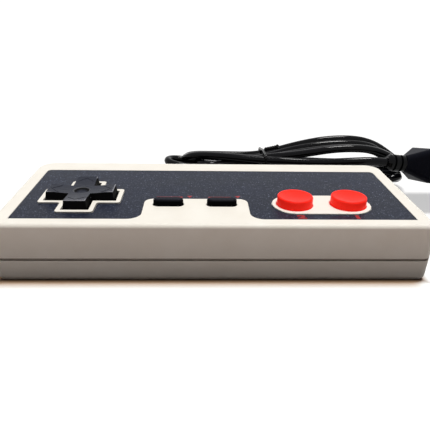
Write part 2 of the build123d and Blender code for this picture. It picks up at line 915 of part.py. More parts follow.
def main():
    nodes = {
        "top_shell": top_shell(),
        "bottom_shell": bottom_shell(),
        "face_plate": face_plate(),
        "case_screws": case_screws(),
        "d_pad": d_pad(),
        "d_pad_pivot": d_pad_pivot(),
        "d_pad_membrane": d_pad_membrane(),
        "round_membrane": round_membrane(),
        "pill_membrane": pill_membrane(),
        "circuit_board": circuit_board(),
        "contact_pads": contact_pads(),
        "shift_register": shift_register(),
        "chip_legs": chip_legs(),
        "solder_joints": solder_joints(),
        "strain_relief": strain_relief(),
        "cord_inner": cord_inner(),
        "cord_lead": cord_stretch("lead", lead_points()),
        "cord_hank": cord_hank(),
        "cord_tail": cord_stretch("tail", tail_points()),
        "cable_tie": cable_tie(),
        "plug_boot": plug_boot(),
        "plug_body": plug_body(),
        "plug_insert": plug_insert(),
        "plug_contacts": plug_contacts(),
    }
    nodes["d_pad_pills"] = [carbon_pill(p, pad_dome_radius, pad_carbon_gap) for p in pad_dome_places()]
    for name, x in round_places.items():
        nodes[name] = round_button(x)
        nodes[name.replace("button", "pill")] = carbon_pill((x, round_y), round_dome_radius, round_carbon_gap)
    for name, x in pill_places.items():
        nodes[name] = pill_button(x)
        nodes[name.replace("button", "pill")] = carbon_pill((x, pill_y), pill_dome_radius, pill_carbon_gap)
    for number, colour in enumerate(core_colours):
        nodes[f"wire_{colour}"] = core_wire(number)

    os.makedirs("parts", exist_ok=True)
    for name, shape in nodes.items():
        export_step(Compound(shape) if isinstance(shape, list) else shape, f"parts/{name}.step")
        print(name)


main()
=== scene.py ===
import math

import bmesh
import bpy
from mathutils import Matrix, Vector
from mathutils.bvhtree import BVHTree


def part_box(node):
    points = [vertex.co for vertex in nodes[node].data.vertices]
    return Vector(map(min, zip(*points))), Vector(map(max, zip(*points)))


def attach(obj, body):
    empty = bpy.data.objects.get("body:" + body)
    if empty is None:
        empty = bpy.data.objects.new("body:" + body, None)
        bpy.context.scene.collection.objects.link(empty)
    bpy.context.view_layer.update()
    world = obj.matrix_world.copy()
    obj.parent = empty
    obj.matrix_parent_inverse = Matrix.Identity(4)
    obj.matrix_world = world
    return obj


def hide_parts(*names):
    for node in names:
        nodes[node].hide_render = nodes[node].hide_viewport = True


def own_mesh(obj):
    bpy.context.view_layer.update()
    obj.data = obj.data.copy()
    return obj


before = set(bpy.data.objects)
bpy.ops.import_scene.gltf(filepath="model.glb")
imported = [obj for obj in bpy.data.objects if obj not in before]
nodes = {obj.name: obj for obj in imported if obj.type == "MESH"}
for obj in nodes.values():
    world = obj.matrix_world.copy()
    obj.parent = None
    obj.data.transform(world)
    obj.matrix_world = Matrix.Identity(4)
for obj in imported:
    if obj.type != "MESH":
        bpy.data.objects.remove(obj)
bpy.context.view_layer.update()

scene = bpy.context.scene
scene.view_settings.view_transform = "Standard"
mm = 0.001
print("frame loaded:", len(nodes), "nodes")


# small helpers; sizes in the dictionaries are in millimetres unless a note says otherwise

def addNode(tree, kind, values=None, **settings):
    made = tree.nodes.new(kind)
    for key, value in settings.items():
        setattr(made, key, value)
    for key, value in (values or {}).items():
        made.inputs[key].default_value = value
    return made


def addMath(tree, operation, *values):
    # each value is a number or a socket
    made = addNode(tree, "ShaderNodeMath", operation=operation)
    for value, socket in zip(values, made.inputs):
        if isinstance(value, (int, float)):
            socket.default_value = value
        else:
            tree.links.new(value, socket)
    return made.outputs[0]


def addRange(tree, value, low, high, top=1.0, bottom=0.0):
    # bottom at low and top at high
    ends = {"From Min": low, "From Max": high, "To Min": bottom, "To Max": top}
    made = addNode(tree, "ShaderNodeMapRange", ends)
    tree.links.new(value, made.inputs["Value"])
    return made.outputs[0]


def mixColours(tree, factor, first, second):
    # a Mix node's colours are its inputs 6 and 7 and its output 2; each colour is a tuple or a socket
    mix = addNode(tree, "ShaderNodeMix", data_type="RGBA")
    tree.links.new(factor, mix.inputs[0])
    for colour, socket in ((first, mix.inputs[6]), (second, mix.inputs[7])):
        if isinstance(colour, tuple):
            socket.default_value = colour
        else:
            tree.links.new(colour, socket)
    return mix.outputs[2]


def mixShaders(tree, factor, first, second):
    mix = tree.nodes.new("ShaderNodeMixShader")
    for value, socket in zip((factor, first, second), mix.inputs):
        tree.links.new(value, socket)
    return mix.outputs[0]


def splitPlace(tree, kind="Object"):
    # the point on the object, or the world's direction, as X, Y and Z
    place = tree.nodes.new("ShaderNodeTexCoord")
    parts = tree.nodes.new("ShaderNodeSeparateXYZ")
    tree.links.new(place.outputs[kind], parts.inputs[0])
    return parts.outputs


def linear(red, green, blue):
    # from sRGB values of 0 to 255
    def one(value):
        value /= 255
        return value / 12.92 if value <= 0.04045 else ((value + 0.055) / 1.055) ** 2.4
    return (one(red), one(green), one(blue), 1)


def pieceFrom(bm, name):
    mesh = bpy.data.meshes.new(name)
    bm.to_mesh(mesh)
    bm.free()
    piece = bpy.data.objects.new(name, mesh)
    scene.collection.objects.link(piece)
    return piece


def dress(material, *names):
    for name in names:
        slots = nodes[name].data.materials
        slots.clear()
        slots.append(material)


# camera, floor and light

viewpoint = {
    "place": (-4.75, -145.225, 75.409),
    "yaw": 2.1413,  # degrees, like pitch and roll
    "pitch": 24.5578,  # downwards
    "roll": 1.1279,
    "focal": 484.548,  # in pixels of the picture
    "pictureSide": 430,
    "sensor": 36.0,
    "clip": (0.01, 60.0),  # metres
}


def addCamera():
    yaw, pitch, roll = (math.radians(viewpoint[k]) for k in ("yaw", "pitch", "roll"))
    ahead = Vector((math.sin(yaw) * math.cos(pitch), math.cos(yaw) * math.cos(pitch), -math.sin(pitch)))
    right = Vector((math.cos(yaw), -math.sin(yaw), 0))
    up = right.cross(ahead)
    turnedRight = right * math.cos(roll) + up * math.sin(roll)
    turnedUp = up * math.cos(roll) - right * math.sin(roll)
    data = bpy.data.cameras.new("camera")
    data.sensor_width = viewpoint["sensor"]
    data.lens = viewpoint["focal"] * viewpoint["sensor"] / viewpoint["pictureSide"]
    data.clip_start, data.clip_end = viewpoint["clip"]
    camera = bpy.data.objects.new("camera", data)
    camera.matrix_world = Matrix.Translation(Vector(viewpoint["place"]) * mm) @ Matrix(
        (turnedRight, turnedUp, -ahead)
    ).transposed().to_4x4()
    scene.collection.objects.link(camera)
    scene.camera = camera
    print("camera set")


studio = {
    "ambient": 0.09,  # what the sky adds to the light
    "fromBelow": 0.5,  # and what comes up through the opening under the case, to the underside
    "belowReach": (0.0, -0.1),  # where that starts and is full, as the height of a direction
    "openReach": (-2.0, -3.0),  # the opening's edge, from the case's side
    "white": (1, 1, 1, 1),
    "floorSide": 60.0,  # metres
    "floorDrop": 0.03,
    "floorBounce": [(0.06, 0.048, 0.045), (0.81, 0.70, 0.66)],  # painted shade near the case, and the floor further off
    "bounceReach": (5.0, 42.0),
    "caseHalf": (62.0, 26.5),
    "contactReach": (-0.9, 1.3),  # painted contact shadow, the dark line at the foot: where it is full and where it ends, from the case's side
    "contactShade": (0.34, 0.25, 0.20),
    # the part of the floor that a shadow can darken and the part that it can't, in front and behind; the warm
    # glow in front is painted light bounced off the case, and the stronger glow behind is painted light over
    # the plug's shadow
    "floorShade": [(0.60, 0.80, 0.92), (0.50, 0.50, 0.50)],
    "floorGlow": [(0.44, 0.24, 0.10), (0.54, 0.54, 0.54)],
    "floorTurn": (-10.0, 25.0),
    "sunStrength": 3.25,
    "sunWidth": 15.0,  # degrees, as wide as a softbox close by
    "sunLean": (7.0, 9.0),  # degrees towards the back and to the right
    "sunColour": (1.0, 0.985, 0.965),
}


def seenMask(tree):
    # 1 for what is seen straight on, in gloss or through glass
    rays = tree.nodes.new("ShaderNodeLightPath")
    direct = addMath(tree, "MAXIMUM", rays.outputs["Is Camera Ray"], rays.outputs["Is Glossy Ray"])
    return addMath(tree, "MAXIMUM", direct, rays.outputs["Is Transmission Ray"])


def addWorld():
    world = bpy.data.worlds.new("studio")
    world.use_nodes = True
    scene.world = world
    tree = world.node_tree
    light = tree.nodes["Background"]
    light.inputs["Color"].default_value = studio["white"]
    height = splitPlace(tree, "Generated")["Z"]
    strength = addRange(tree, height, *studio["belowReach"], studio["fromBelow"], studio["ambient"])
    tree.links.new(strength, light.inputs["Strength"])
    seen = addNode(tree, "ShaderNodeBackground", {"Color": studio["white"], "Strength": 1.0})
    shown = mixShaders(tree, seenMask(tree), light.outputs[0], seen.outputs[0])
    tree.links.new(shown, tree.nodes["World Output"].inputs["Surface"])


def addFloor():
    bm = bmesh.new()
    bmesh.ops.create_grid(bm, x_segments=1, y_segments=1, size=studio["floorSide"] / 2)
    bmesh.ops.translate(bm, verts=bm.verts[:], vec=(0, 0, -studio["floorDrop"] * mm))
    floor = pieceFrom(bm, "floor")
    material = bpy.data.materials.new("paleFloor")
    material.use_nodes = True
    tree = material.node_tree
    tree.nodes.remove(tree.nodes["Principled BSDF"])
    bounce = tree.nodes.new("ShaderNodeBsdfDiffuse")
    shade = tree.nodes.new("ShaderNodeBsdfDiffuse")
    glow = tree.nodes.new("ShaderNodeEmission")
    parts = splitPlace(tree)
    turn = addRange(tree, parts["Y"], *(end * mm for end in studio["floorTurn"]))
    # distance from the case's foot
    past = [
        addMath(tree, "SUBTRACT", addMath(tree, "ABSOLUTE", parts[axis]), half * mm)
        for axis, half in zip("XY", studio["caseHalf"])
    ]
    away = addMath(tree, "MAXIMUM", *past)
    # painted shade: the floor bounces less light close to the case
    reach = addRange(tree, away, *(end * mm for end in studio["bounceReach"]))
    # painted contact shadow: at the foot the glow fades and the shaded floor turns to the contact colour
    contact = addRange(tree, away, *(end * mm for end in studio["contactReach"]))
    tree.links.new(contact, glow.inputs["Strength"])
    layers = ((bounce, "floorBounce", reach), (shade, "floorShade", turn), (glow, "floorGlow", turn))
    for node, key, factor in layers:
        first, second = ((*colour, 1) for colour in studio[key])
        colour = mixColours(tree, factor, first, second)
        if node is shade:
            colour = mixColours(tree, contact, (*studio["contactShade"], 1), colour)
        tree.links.new(colour, node.inputs["Color"])
    both = tree.nodes.new("ShaderNodeAddShader")
    tree.links.new(shade.outputs[0], both.inputs[0])
    tree.links.new(glow.outputs[0], both.inputs[1])
    shown = mixShaders(tree, seenMask(tree), bounce.outputs[0], both.outputs[0])
    # clear from below and open under the case, so that the underside can be looked at
    facing = tree.nodes.new("ShaderNodeNewGeometry")
    clear = tree.nodes.new("ShaderNodeBsdfTransparent")
    under = addRange(tree, away, *(end * mm for end in studio["openReach"]))
    seeThrough = addMath(tree, "MAXIMUM", facing.outputs["Backfacing"], under)
    surface = mixShaders(tree, seeThrough, shown, clear.outputs[0])
    tree.links.new(surface, tree.nodes["Material Output"].inputs["Surface"])
    floor.data.materials.append(material)


def addSun():
    data = bpy.data.lights.new("sun", "SUN")
    data.energy = studio["sunStrength"]
    data.angle = math.radians(studio["sunWidth"])
    data.color = studio["sunColour"]
    sun = bpy.data.objects.new("sun", data)
    back, right = studio["sunLean"]
    sun.rotation_euler = (-math.radians(back), math.radians(right), 0)
    scene.collection.objects.link(sun)


def addStudio():
    addWorld()
    addFloor()
    addSun()
    print("studio lit")


# shared surface effects

grainShape = {
    "detail": 3.0,
    "fineRoughness": 0.6,
    "cloudRoughness": 0.55,
    "cloudRange": (0.33, 0.67),
}
handlingShape = {
    "rubTurn": (0, 0, 0.6),  # radians
    "rubStretch": (1, 16, 1),
    "rubNoise": {"Scale": 260.0, "Detail": 4.0},
    "rubRange": (0.56, 0.72),
    "motes": {"Scale": 700.0},
    "moteRange": (0.16, 0.08),
    "patches": {"Scale": 90.0, "Detail": 2.0},
    "patchRange": (0.5, 0.7),
}


def newGroup(name, inputs, outputs):
    tree = bpy.data.node_groups.new(name, "ShaderNodeTree")
    tree.interface.new_socket("Vector", in_out="INPUT", socket_type="NodeSocketVector")
    for label in inputs:
        tree.interface.new_socket(label, in_out="INPUT", socket_type="NodeSocketFloat")
    for label in outputs:
        tree.interface.new_socket(label, in_out="OUTPUT", socket_type="NodeSocketFloat")
    return tree, tree.nodes.new("NodeGroupInput"), tree.nodes.new("NodeGroupOutput")


def mouldGrainGroup():
    # fine tool-steel grain, and the slow change of tone over a moulding
    tree, given, made = newGroup("mouldGrain", ["Scale", "Cloud"], ["Height", "Tone"])
    noises = []
    for scale, roughness in (("Scale", "fineRoughness"), ("Cloud", "cloudRoughness")):
        values = {"Detail": grainShape["detail"], "Roughness": grainShape[roughness]}
        noise = addNode(tree, "ShaderNodeTexNoise", values)
        tree.links.new(given.outputs["Vector"], noise.inputs["Vector"])
        tree.links.new(given.outputs[scale], noise.inputs["Scale"])
        noises.append(noise.outputs["Fac"])
    fine, cloud = noises
    tree.links.new(fine, made.inputs["Height"])
    tree.links.new(addRange(tree, cloud, *grainShape["cloudRange"]), made.inputs["Tone"])
    return tree


def handlingGroup():
    # faint rub lines, and motes of dust in patches
    tree, given, made = newGroup("handling", ["Amount"], ["Rub", "Dust"])
    along = {"Rotation": handlingShape["rubTurn"], "Scale": handlingShape["rubStretch"]}
    stretch = addNode(tree, "ShaderNodeMapping", along)
    lines = addNode(tree, "ShaderNodeTexNoise", handlingShape["rubNoise"])
    tree.links.new(given.outputs["Vector"], stretch.inputs["Vector"])
    tree.links.new(stretch.outputs[0], lines.inputs["Vector"])
    tree.links.new(addRange(tree, lines.outputs["Fac"], *handlingShape["rubRange"]), made.inputs["Rub"])

    motes = addNode(tree, "ShaderNodeTexVoronoi", handlingShape["motes"])
    patches = addNode(tree, "ShaderNodeTexNoise", handlingShape["patches"])
    for texture in (motes, patches):
        tree.links.new(given.outputs["Vector"], texture.inputs["Vector"])
    near = addRange(tree, motes.outputs["Distance"], *handlingShape["moteRange"])
    there = addRange(tree, patches.outputs["Fac"], *handlingShape["patchRange"])
    dust = addMath(tree, "MULTIPLY", addMath(tree, "MULTIPLY", near, there), given.outputs["Amount"])
    tree.links.new(dust, made.inputs["Dust"])
    return tree


mouldGrain = mouldGrainGroup()
handling = handlingGroup()


def startMaterial(name):
    material = bpy.data.materials.new(name)
    material.use_nodes = True
    tree = material.node_tree
    place = tree.nodes.new("ShaderNodeTexCoord")
    return material, tree, tree.nodes["Principled BSDF"], place.outputs["Object"]


def useGroup(tree, group, place, **values):
    made = addNode(tree, "ShaderNodeGroup", node_tree=group)
    tree.links.new(place, made.inputs["Vector"])
    for label, value in values.items():
        made.inputs[label].default_value = value
    return made.outputs


def addBump(tree, shader, height, strength, depth):
    bump = addNode(tree, "ShaderNodeBump", {"Strength": strength, "Distance": depth * mm})
    tree.links.new(height, bump.inputs["Height"])
    tree.links.new(bump.outputs[0], shader.inputs["Normal"])


def addRoughness(tree, shader, base, *changes):
    value = base
    for change, share in changes:
        value = addMath(tree, "ADD", addMath(tree, "MULTIPLY", change, share), value)
    tree.links.new(value, shader.inputs["Roughness"])


def faceUp(tree, place, low, high):
    # 0 where the surface is as upright as low, 1 where it lies as flat as high
    parts = tree.nodes.new("ShaderNodeSeparateXYZ")
    tree.links.new(place.node.outputs["Normal"], parts.inputs[0])
    return addRange(tree, parts.outputs["Z"], low, high)


def addSpecks(tree, place, tone, specks):
    # light flakes of two sizes, some of them brighter than others
    for perMetre, size, strength in specks["layers"]:
        flakes = addNode(tree, "ShaderNodeTexVoronoi", {"Scale": perMetre, "Randomness": 1.0})
        tree.links.new(place, flakes.inputs["Vector"])
        near = addRange(tree, flakes.outputs["Distance"], size, size * specks["core"])
        pick = tree.nodes.new("ShaderNodeSeparateColor")
        tree.links.new(flakes.outputs["Color"], pick.inputs[0])
        lit = addRange(tree, pick.outputs[0], specks["unlit"], 1.0, strength)
        tone = mixColours(tree, addMath(tree, "MULTIPLY", near, lit), tone, linear(*specks["colour"]))
    return tone


usualPlastic = {
    "cloud": 120.0,
    "dust": 0.0,
    "dustColour": (188, 186, 182),
    "rub": 0.06,  # added to the roughness along the rub lines
    "toneGloss": 0.05,  # and where the second tone shows
    "bump": 0.2,
    "grainDepth": 0.02,
    "specular": 0.5,
}
usualMetal = {
    "cloud": 600.0,
    "rub": 0.15,
    "toneGloss": 0.1,
    "bump": 0.15,
    "grainDepth": 0.01,
}


def moulded(name, given):
    # one moulded plastic or rubber: two close tones, grain, rub lines and dust
    finish = {**usualPlastic, **given}
    material, tree, shader, place = startMaterial(name)
    grain = useGroup(tree, mouldGrain, place, Scale=finish["grain"], Cloud=finish["cloud"])
    wear = useGroup(tree, handling, place, Amount=finish["dust"])
    tone = mixColours(tree, grain["Tone"], linear(*finish["colour"]), linear(*finish["other"]))
    if "specks" in finish:
        tone = addSpecks(tree, place, tone, finish["specks"])
    shown = mixColours(tree, wear["Dust"], tone, linear(*finish["dustColour"]))
    changes = [(wear["Rub"], finish["rub"]), (grain["Tone"], finish["toneGloss"])]
    if "paintedSideShade" in finish:
        # painted shade: the sides are darker than what faces up, and the corner between them takes a painted
        # edge colour, which on the pad is a painted highlight; the sides are also matt
        up = faceUp(tree, place, *finish["flat"])
        shown = mixColours(tree, up, linear(*finish["paintedSideShade"]), shown)
        rim = addMath(tree, "MULTIPLY", *(faceUp(tree, place, *ends) for ends in finish["rim"]))
        shown = mixColours(tree, rim, shown, linear(*finish["rimColour"]))
        changes.append((addMath(tree, "SUBTRACT", 1.0, up), finish["sideRoughness"]))
    tree.links.new(shown, shader.inputs["Base Color"])
    addRoughness(tree, shader, finish["roughness"], *changes)
    addBump(tree, shader, grain["Height"], finish["bump"], finish["grainDepth"])
    shader.inputs["Specular IOR Level"].default_value = finish["specular"]
    if "glow" in finish:  # painted light: the colour glows though the part is no lamp
        tree.links.new(tone, shader.inputs["Emission Color"])
        shader.inputs["Emission Strength"].default_value = finish["glow"]
    if "depth" in finish:  # light goes a little way in
        shader.inputs["Subsurface Weight"].default_value = finish["depth"]
        shader.inputs["Subsurface Radius"].default_value = finish["reach"]
        shader.inputs["Subsurface Scale"].default_value = mm
    return material


def bareMetal(name, given):
    finish = {**usualMetal, **given}
    material, tree, shader, place = startMaterial(name)
    grain = useGroup(tree, mouldGrain, place, Scale=finish["grain"], Cloud=finish["cloud"])
    wear = useGroup(tree, handling, place, Amount=0.0)
    tone = mixColours(tree, grain["Tone"], linear(*finish["colour"]), linear(*finish["other"]))
    tree.links.new(tone, shader.inputs["Base Color"])
    shader.inputs["Metallic"].default_value = 1.0
    changes = [(wear["Rub"], finish["rub"]), (grain["Tone"], finish["toneGloss"])]
    addRoughness(tree, shader, finish["roughness"], *changes)
    addBump(tree, shader, grain["Height"], finish["bump"], finish["grainDepth"])
    return material


# case

shellFinish = {
    "colour": (243, 239, 230),
    "other": (239, 234, 224),
    "roughness": 0.46,
    "grain": 3600.0,
    "bump": 0.4,
    "grainDepth": 0.035,
    "specular": 0.3,
}
# painted shade in the groove between the shells
seamShade = {
    "colour": (122, 107, 99),
    "height": 7.3,  # of the line where the two shells meet
    "half": (0.34, 0.24),  # where it starts, and where it is full
}
plateFinish = {
    "colour": (20, 25, 39),
    "other": (25, 30, 46),
    "specks": {
        "colour": (136, 146, 170),
        # number in a metre, size as a share of the space for each, strength
        "layers": [(1150.0, 0.24, 0.9), (2600.0, 0.36, 0.6)],
        "core": 0.4,  # share of the size that is full
        "unlit": 0.3,  # share of the flakes that don't show
    },
    "roughness": 0.4,
    "grain": 5200.0,
    "cloud": 70.0,
    "bump": 0.25,
    "specular": 0.09,
    "dust": 0.35,
    "dustColour": (170, 170, 170),
    "rub": 0.08,
    "toneGloss": 0.04,
}
screwFinish = {"colour": (176, 176, 178), "other": (150, 150, 153), "roughness": 0.32, "grain": 3000.0}


def addSeamShade(material):
    # painted shade in the groove where the two shells meet
    tree = material.node_tree
    colour = tree.nodes["Principled BSDF"].inputs["Base Color"]
    unshaded = colour.links[0].from_socket
    above = addMath(tree, "SUBTRACT", splitPlace(tree)["Z"], seamShade["height"] * mm)
    mask = addRange(tree, addMath(tree, "ABSOLUTE", above), *(end * mm for end in seamShade["half"]))
    tree.links.new(mixColours(tree, mask, unshaded, linear(*seamShade["colour"])), colour)


def dressCase():
    shell = moulded("warmGreyShell", shellFinish)
    addSeamShade(shell)
    dress(shell, "top_shell", "bottom_shell")
    dress(moulded("speckledPlate", plateFinish), "face_plate")
    dress(bareMetal("screwSteel", screwFinish), "case_screws", "d_pad_pivot")
    print("case dressed")


marks = {
    "top": 17.95,  # the plate's upper face
    "thick": 0.03,
    "figures": [("2", 24.7, -20.75), ("1", 40.8, -20.75)],
    "figureHeight": 2.2,
    "capShare": 0.7,  # a figure's height in a text of size 1
    "figureStretch": 1.5,
    "figureWeight": 0.2,
    "bars": [(-17.6, -9.7), (-1.7, 5.3)],
    "barDepth": (-6.75, -6.1),
    "arrows": [-7.5, 7.4],
    "arrowSide": 1.7,
    "arrowDepth": (-6.9, -5.4),
}
inkFinish = {
    "colour": (158, 36, 40),
    "other": (146, 32, 37),
    "roughness": 0.5,
    "grain": 8000.0,
    "specular": 0.3,
}


def addFigure(figure, x, y):
    text = bpy.data.curves.new("figure", "FONT")
    text.body = figure
    text.size = marks["figureHeight"] * mm / marks["capShare"]
    text.align_x = "CENTER"
    text.align_y = "CENTER"
    text.extrude = marks["thick"] / 2 * mm
    text.offset = marks["figureWeight"] * mm
    writing = bpy.data.objects.new("writing", text)
    scene.collection.objects.link(writing)
    bpy.context.view_layer.update()
    mesh = bpy.data.meshes.new_from_object(writing.evaluated_get(bpy.context.evaluated_depsgraph_get()))
    bpy.data.objects.remove(writing)
    place = Matrix.Translation(Vector((x, y, marks["top"] + marks["thick"] / 2)) * mm)
    mesh.transform(place @ Matrix.Diagonal((marks["figureStretch"], 1, 1, 1)))
    piece = bpy.data.objects.new(f"printedFigure{figure}", mesh)
    scene.collection.objects.link(piece)
    return piece


def addBar(number, left, right, arrow):
    # a bar with a small arrow beside it
    near, far = marks["barDepth"]
    tip, base = marks["arrowDepth"]
    half = marks["arrowSide"] / 2
    bar = [(left, near), (right, near), (right, far), (left, far)]
    point = [(arrow - half, base), (arrow, tip), (arrow + half, base)]
    bm = bmesh.new()
    for outline in (bar, point):
        bm.faces.new([bm.verts.new((x * mm, y * mm, 0)) for x, y in outline])
    grown = bmesh.ops.extrude_face_region(bm, geom=bm.faces[:])
    lifted = [v for v in grown["geom"] if isinstance(v, bmesh.types.BMVert)]
    bmesh.ops.translate(bm, verts=lifted, vec=(0, 0, marks["thick"] * mm))
    bmesh.ops.translate(bm, verts=bm.verts[:], vec=(0, 0, marks["top"] * mm))
    bmesh.ops.recalc_face_normals(bm, faces=bm.faces[:])
    return pieceFrom(bm, f"printedBar{number}")


def addMarks():
    ink = moulded("redInk", inkFinish)
    pieces = [addFigure(*figure) for figure in marks["figures"]]
    for number, ((left, right), arrow) in enumerate(zip(marks["bars"], marks["arrows"]), 1):
        pieces.append(addBar(number, left, right, arrow))
    for piece in pieces:
        piece.data.materials.clear()
        piece.data.materials.append(ink)
        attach(piece, "case")
    print("marks printed:", len(pieces))


# direction pad and buttons

padFinish = {
    "colour": (40, 43, 54),
    "other": (45, 48, 59),
    # painted shade on the sides, darker than the top
    "paintedSideShade": (2, 2, 3),
    "sideRoughness": 0.4,
    "rimColour": (150, 152, 160),
    "rim": [(0.22, 0.36), (0.86, 0.74)],  # how flat a corner lies where its painted highlight starts and ends
    "flat": (0.90, 0.985),  # how flat the top lies where its colour starts, and where it is full
    "roughness": 0.22,
    "grain": 7000.0,
    "bump": 0.15,
    "specular": 0.045,
    "dust": 0.06,
    "rub": 0.10,
}
pillFinish = {
    **padFinish,
    "colour": (26, 27, 36),
    "other": (30, 31, 40),
    "rimColour": (18, 18, 22),
    "flat": (0.5, 0.95),
    "specular": 0.02,
}
redFinish = {
    "colour": (242, 39, 26),
    "other": (237, 34, 22),
    "roughness": 0.40,
    "grain": 6500.0,
    "bump": 0.22,
    "specular": 0.09,
    # painted light: the red glows, so that its shaded sides read as brightly lit
    "glow": 0.42,
    "depth": 0.15,
    "reach": (1.5, 0.2, 0.1),
}
chevron = {
    "centre": (-40.4, -6.5),
    "tip": 9.1,  # from the pad's centre
    "foot": 6.7,
    "halfWidth": 2.5,
    "band": 0.42,  # the line's width, measured along the arm
    "cuts": 5,
    "proud": 0.08,
    "thick": 0.2,
    "rayStart": 60.0,  # height from which the pad's top is looked for
}


def addChevrons(material):
    # a raised arrow-head line on each arm, laid on the dished top
    pad = nodes["d_pad"].data
    surface = BVHTree.FromPolygons([v.co for v in pad.vertices], [p.vertices for p in pad.polygons])
    centre = Vector((*chevron["centre"], 0))
    half, foot, tip, band = (chevron[k] for k in ("halfWidth", "foot", "tip", "band"))
    for number in range(4):
        bm = bmesh.new()
        rows = []
        for x, y in ((-half, foot), (0, tip), (half, foot)):
            rows.append((bm.verts.new((x, y, 0)), bm.verts.new((x, y - band, 0))))
        for first, second in zip(rows, rows[1:]):
            bm.faces.new((first[0], first[1], second[1], second[0]))
        long = [e for e in bm.edges if e.calc_length() > band * 2]
        bmesh.ops.subdivide_edges(bm, edges=long, cuts=chevron["cuts"], use_grid_fill=True)
        turn = Matrix.Rotation(math.radians(90 * number), 4, "Z")
        bmesh.ops.transform(bm, matrix=turn, verts=bm.verts[:])
        for v in bm.verts:
            above = (Vector((v.co.x, v.co.y, chevron["rayStart"])) + centre) * mm
            hit = surface.ray_cast(above, Vector((0, 0, -1)))[0]
            v.co = hit + Vector((0, 0, chevron["proud"] * mm))
        bmesh.ops.recalc_face_normals(bm, faces=bm.faces[:])
        if sum(f.normal.z for f in bm.faces) < 0:
            bmesh.ops.reverse_faces(bm, faces=bm.faces[:])
        bmesh.ops.solidify(bm, geom=bm.faces[:], thickness=chevron["thick"] * mm)
        bmesh.ops.recalc_face_normals(bm, faces=bm.faces[:])
        piece = pieceFrom(bm, f"padChevron{number + 1}")
        piece.data.materials.append(material)
        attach(piece, "d_pad")


def dressButtons():
    black = moulded("blackPad", padFinish)
    dress(black, "d_pad")
    addChevrons(black)
    dress(moulded("blackPill", pillFinish), "select_button", "start_button")
    dress(moulded("selfLitRed", redFinish), "a_button", "b_button")
    print("buttons dressed")


# what is inside

domeSplit = {  # the joint over each half of a membrane, and the half's side of its middle
    "round_membrane": [("b_press", -1), ("a_press", 1)],
    "pill_membrane": [("select_press", -1), ("start_press", 1)],
}
weldGap = 0.001
siliconeFinish = {
    "colour": (150, 152, 156),
    "other": (140, 142, 147),
    "roughness": 0.55,
    "grain": 5000.0,
    "depth": 0.25,
    "reach": (1.0, 1.0, 1.0),
}
carbonFinish = {
    "colour": (22, 22, 22),
    "other": (30, 30, 30),
    "roughness": 0.75,
    "grain": 9000.0,
    "specular": 0.2,
}
boardFinish = {
    "lacquer": (62, 92, 44),
    "track": (86, 118, 58),
    "tracksPerMetre": 260.0,
    "trackWidth": 0.14,
    "trackSoftness": 0.1,
    "trackDepth": 0.03,
    "roughness": 0.32,
    "toneGloss": 0.12,
    "grain": 4000.0,
    "cloud": 90.0,
    "bump": 0.3,
}
copperFinish = {"colour": (214, 162, 108), "other": (190, 134, 88), "roughness": 0.35, "grain": 3500.0}
tinFinish = {"colour": (198, 198, 202), "other": (172, 172, 176), "roughness": 0.24, "grain": 4200.0}
chipFinish = {"colour": (30, 30, 32), "other": (36, 36, 38), "roughness": 0.6, "grain": 5200.0}
coreFinish = {"roughness": 0.42, "grain": 5000.0}
coreColours = {
    "white": ((222, 221, 215), (212, 211, 204)),
    "brown": ((96, 60, 38), (86, 52, 32)),
    "red": ((186, 34, 28), (172, 28, 24)),
    "orange": ((222, 118, 34), (210, 106, 28)),
    "yellow": ((224, 192, 52), (212, 180, 44)),
}


def membraneCopy(name):
    bm = bmesh.new()
    bm.from_mesh(nodes[name].data)
    bmesh.ops.remove_doubles(bm, verts=bm.verts[:], dist=weldGap * mm)
    return bm


def cutAway(bm, place, normal):
    # keeps the side that the normal points away from, and closes the cut
    cut = bmesh.ops.bisect_plane(
        bm, geom=bm.verts[:] + bm.edges[:] + bm.faces[:], plane_co=place, plane_no=normal, clear_outer=True
    )
    edges = [e for e in cut["geom_cut"] if isinstance(e, bmesh.types.BMEdge)]
    bmesh.ops.holes_fill(bm, edges=edges, sides=0)


def finishMembrane(bm, pieceName, node, material):
    bmesh.ops.recalc_face_normals(bm, faces=bm.faces[:])
    piece = pieceFrom(bm, pieceName)
    piece.data.materials.append(material)
    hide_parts(node)
    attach(piece, "case")
    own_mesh(piece)


def addMembranes(rubber):
    for name, halves in domeSplit.items():
        low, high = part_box(name)
        middle = (low + high) / 2
        for joint, side in halves:
            bm = membraneCopy(name)
            cutAway(bm, middle, Vector((-side, 0, 0)))
            finishMembrane(bm, f"{name}.{joint}", name, rubber)


def addPadQuarters(node, material):
    # the domes under the pad, or the pills in them, cut into four quarters, one for each arm
    low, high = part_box("d_pad_membrane")
    middle = (low + high) / 2
    for number, joint in enumerate(("d_pad_rock_left_right", "d_pad_rock_front_back") * 2):
        bm = membraneCopy(node)
        for lean in (45, -45):
            angle = math.radians(90 * number + lean)
            outward = Vector((math.cos(angle), math.sin(angle), 0))
            sideways = Vector((-outward.y, outward.x, 0)) * (1 if lean > 0 else -1)
            cutAway(bm, middle, sideways)
        finishMembrane(bm, f"{node}.{number + 1}", node, material)


